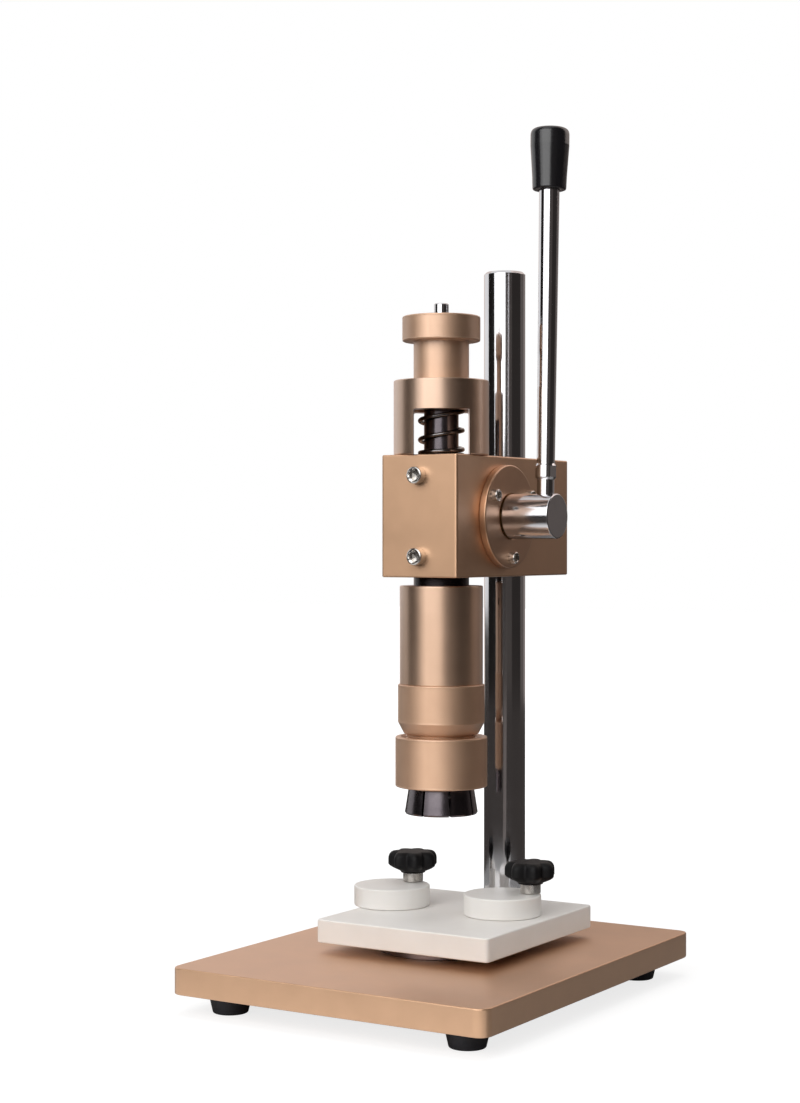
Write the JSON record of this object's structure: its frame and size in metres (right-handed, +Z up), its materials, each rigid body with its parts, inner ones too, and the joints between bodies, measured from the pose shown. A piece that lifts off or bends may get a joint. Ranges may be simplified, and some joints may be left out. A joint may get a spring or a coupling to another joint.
{
  "type": "perfume bottle crimper",
  "caption": "Hand-operated bench press that crimps spray pumps onto perfume bottles, with a rack-driven ram and closing jaws on a column stand.",
  "frame": {"origin": "on the bench under the axis of the ram, at the centre of the base's footprint", "axes": "+Z up, +Y from the ram towards the column, +X towards the lever"},
  "size_m": [0.2, 0.25, 0.5],
  "materials": {
    "anodised_gold": "satin anodised",
    "blasted_gold": "bead-blasted and anodised",
    "polished_chrome": "polished hard chrome",
    "bright_steel": "zinc-plated",
    "blackened_steel": "black oxide",
    "spring_steel": "black oxide spring wire",
    "bronze": "turned bronze",
    "white_acetal": "machined white acetal",
    "black_plastic": "moulded black phenolic",
    "black_rubber": "moulded"
  },
  "bodies": {
    "stand": {"base_plate": "anodised_gold", "column": "polished_chrome", "column_screw": "bright_steel", "rubber_feet": "black_rubber", "foot_screws": "bright_steel", "table_riser": "black_plastic", "bottle_table": "white_acetal", "table_screws": "bright_steel"},
    "head": {"head_block": "anodised_gold", "clamp_screws": "bright_steel", "guide_screws": "bright_steel", "bearing_flange": "anodised_gold", "flange_screws": "bright_steel", "left_shaft_bush": "bronze", "right_shaft_bush": "bronze", "spring_cage": "anodised_gold", "upper_guide_bush": "bronze", "lower_guide_bush": "bronze", "return_spring": "spring_steel"},
    "ram": {"ram": "blackened_steel", "barrel": "anodised_gold", "barrel_set_screw": "blackened_steel", "coupling_band": "blasted_gold", "closing_collar": "blasted_gold", "jaw_spring": "spring_steel"},
    "lever": {"pinion_shaft": "bright_steel", "lever_hub": "polished_chrome", "hub_set_screw": "blackened_steel", "lever_rod": "polished_chrome", "lever_grip": "black_plastic"},
    "stroke_nut": {"stroke_nut": "anodised_gold"},
    "stem": {"stem": "polished_chrome", "jaw_carrier": "bright_steel", "pusher": "white_acetal", "jaw_opening_ring": "black_rubber", "jaw_keeper_ring": "black_rubber"},
    "left_disc": {"left_stop_disc": "white_acetal"},
    "right_disc": {"right_stop_disc": "white_acetal"},
    "left_knob": {"left_star_knob": "black_plastic", "left_knob_stud": "bright_steel"},
    "right_knob": {"right_star_knob": "black_plastic", "right_knob_stud": "bright_steel"},
    "jaw_1": {"jaw_1": "blackened_steel"},
    "jaw_2": {"jaw_2": "blackened_steel"},
    "jaw_3": {"jaw_3": "blackened_steel"},
    "jaw_4": {"jaw_4": "blackened_steel"},
    "jaw_5": {"jaw_5": "blackened_steel"},
    "jaw_6": {"jaw_6": "blackened_steel"},
    "jaw_7": {"jaw_7": "blackened_steel"},
    "jaw_8": {"jaw_8": "blackened_steel"}
  },
  "joints": [
    {"name": "head_height", "type": "slide", "parent": "stand", "child": "head", "axis": [0, 0, 1], "range_m": [-0.02, 0.1]},
    {"name": "ram_press", "type": "slide", "parent": "head", "child": "ram", "axis": [0, 0, -1], "range_m": [0, 0.022], "stiffness_N_per_m": 4900, "springref_m": -0.01, "deforming": ["return_spring"]},
    {"name": "lever_turn", "type": "hinge", "parent": "head", "child": "lever", "pos_m": [0, 0.0295, 0.2759], "axis": [1, 0, 0], "range_deg": [0, 74.5]},
    {"name": "stroke_nut_turn", "type": "hinge", "parent": "ram", "child": "stroke_nut", "pos_m": [0, 0, 0.3765], "axis": [0, 0, 1], "continuous": true},
    {"name": "stem_lift", "type": "slide", "parent": "ram", "child": "stem", "axis": [0, 0, 1], "range_m": [0, 0.006], "stiffness_N_per_m": 5000, "springref_m": -0.005, "deforming": ["jaw_spring"]},
    {"name": "jaw_1_close", "type": "hinge", "parent": "stem", "child": "jaw_1", "pos_m": [-0.01062, -0.0044, 0.1533], "axis": [0.3827, -0.9239, 0], "range_deg": [0, 1.5]},
    {"name": "jaw_2_close", "type": "hinge", "parent": "stem", "child": "jaw_2", "pos_m": [-0.0044, -0.01062, 0.1533], "axis": [0.9239, -0.3827, 0], "range_deg": [0, 1.5]},
    {"name": "jaw_3_close", "type": "hinge", "parent": "stem", "child": "jaw_3", "pos_m": [0.0044, -0.01062, 0.1533], "axis": [0.9239, 0.3827, 0], "range_deg": [0, 1.5]},
    {"name": "jaw_4_close", "type": "hinge", "parent": "stem", "child": "jaw_4", "pos_m": [0.01062, -0.0044, 0.1533], "axis": [0.3827, 0.9239, 0], "range_deg": [0, 1.5]},
    {"name": "jaw_5_close", "type": "hinge", "parent": "stem", "child": "jaw_5", "pos_m": [0.01062, 0.0044, 0.1533], "axis": [-0.3827, 0.9239, 0], "range_deg": [0, 1.5]},
    {"name": "jaw_6_close", "type": "hinge", "parent": "stem", "child": "jaw_6", "pos_m": [0.0044, 0.01062, 0.1533], "axis": [-0.9239, 0.3827, 0], "range_deg": [0, 1.5]},
    {"name": "jaw_7_close", "type": "hinge", "parent": "stem", "child": "jaw_7", "pos_m": [-0.0044, 0.01062, 0.1533], "axis": [-0.9239, -0.3827, 0], "range_deg": [0, 1.5]},
    {"name": "jaw_8_close", "type": "hinge", "parent": "stem", "child": "jaw_8", "pos_m": [-0.01062, 0.0044, 0.1533], "axis": [-0.3827, -0.9239, 0], "range_deg": [0, 1.5]},
    {"name": "left_disc_swing", "type": "hinge", "parent": "stand", "child": "left_disc", "pos_m": [-0.04, 0.034, 0.0451], "axis": [0, 0, 1], "continuous": true},
    {"name": "left_knob_turn", "type": "hinge", "parent": "stand", "child": "left_knob", "pos_m": [-0.04, 0.034, 0.0628], "axis": [0, 0, 1], "continuous": true},
    {"name": "right_disc_swing", "type": "hinge", "parent": "stand", "child": "right_disc", "pos_m": [0.04, 0.034, 0.0451], "axis": [0, 0, 1], "continuous": true},
    {"name": "right_knob_turn", "type": "hinge", "parent": "stand", "child": "right_knob", "pos_m": [0.04, 0.034, 0.0628], "axis": [0, 0, 1], "continuous": true}
  ],
  "couplings": [
    {"joint": "lever_turn", "follows": "ram_press", "rad_per_m": 58.824},
    {"joint": "jaw_1_close", "follows": "stem_lift", "rad_per_m": 3.9515},
    {"joint": "jaw_2_close", "follows": "stem_lift", "rad_per_m": 3.9515},
    {"joint": "jaw_3_close", "follows": "stem_lift", "rad_per_m": 3.9515},
    {"joint": "jaw_4_close", "follows": "stem_lift", "rad_per_m": 3.9515},
    {"joint": "jaw_5_close", "follows": "stem_lift", "rad_per_m": 3.9515},
    {"joint": "jaw_6_close", "follows": "stem_lift", "rad_per_m": 3.9515},
    {"joint": "jaw_7_close", "follows": "stem_lift", "rad_per_m": 3.9515},
    {"joint": "jaw_8_close", "follows": "stem_lift", "rad_per_m": 3.9515}
  ]
}
